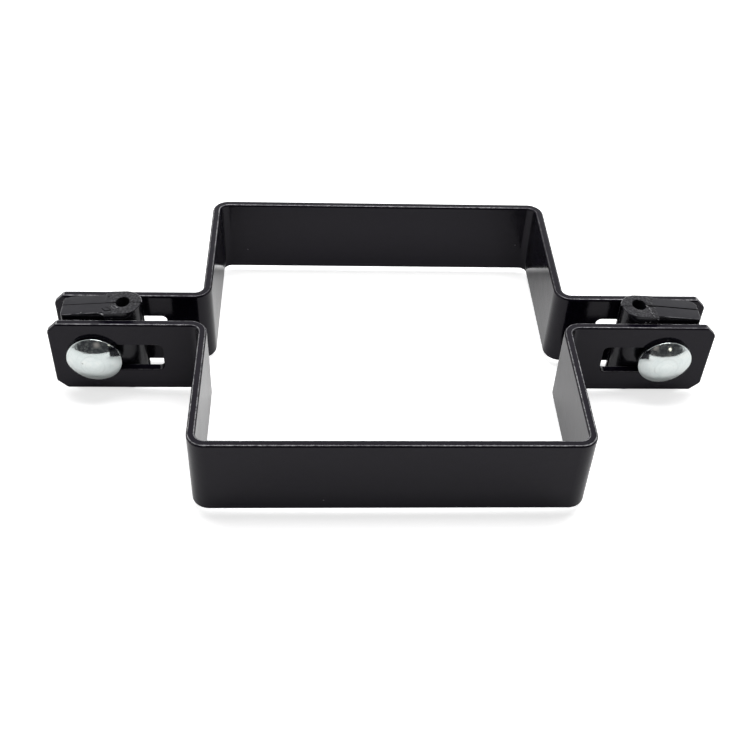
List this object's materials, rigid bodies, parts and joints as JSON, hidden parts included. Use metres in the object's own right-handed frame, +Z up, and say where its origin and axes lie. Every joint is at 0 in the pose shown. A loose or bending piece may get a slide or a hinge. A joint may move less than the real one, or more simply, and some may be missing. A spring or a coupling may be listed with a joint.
{
  "type": "u bracket",
  "caption": "Clamp bracket for a square post: hat-shaped straps of black coated flat steel, joined at slotted lugs by carriage bolts that also hold moulded wire clips.",
  "frame": {"origin": "centre of the post opening, on the plane that the bracket rests on (the clips' undersides)", "axes": "+X along the lugs, +Y towards the rear strap and the nuts, +Z up, along the post"},
  "size_m": [0.2346, 0.132, 0.0354],
  "materials": {
    "powder_coat": "gloss",
    "clip_plastic": "satin",
    "zinc": "bright zinc plate"
  },
  "bodies": {
    "root": {"front_strap": "powder_coat", "rear_strap": "powder_coat", "left_wire_clip": "clip_plastic", "left_carriage_bolt": "zinc", "left_washer": "zinc", "left_hex_nut": "zinc", "right_wire_clip": "clip_plastic", "right_carriage_bolt": "zinc", "right_washer": "zinc", "right_hex_nut": "zinc"}
  },
  "joints": []
}
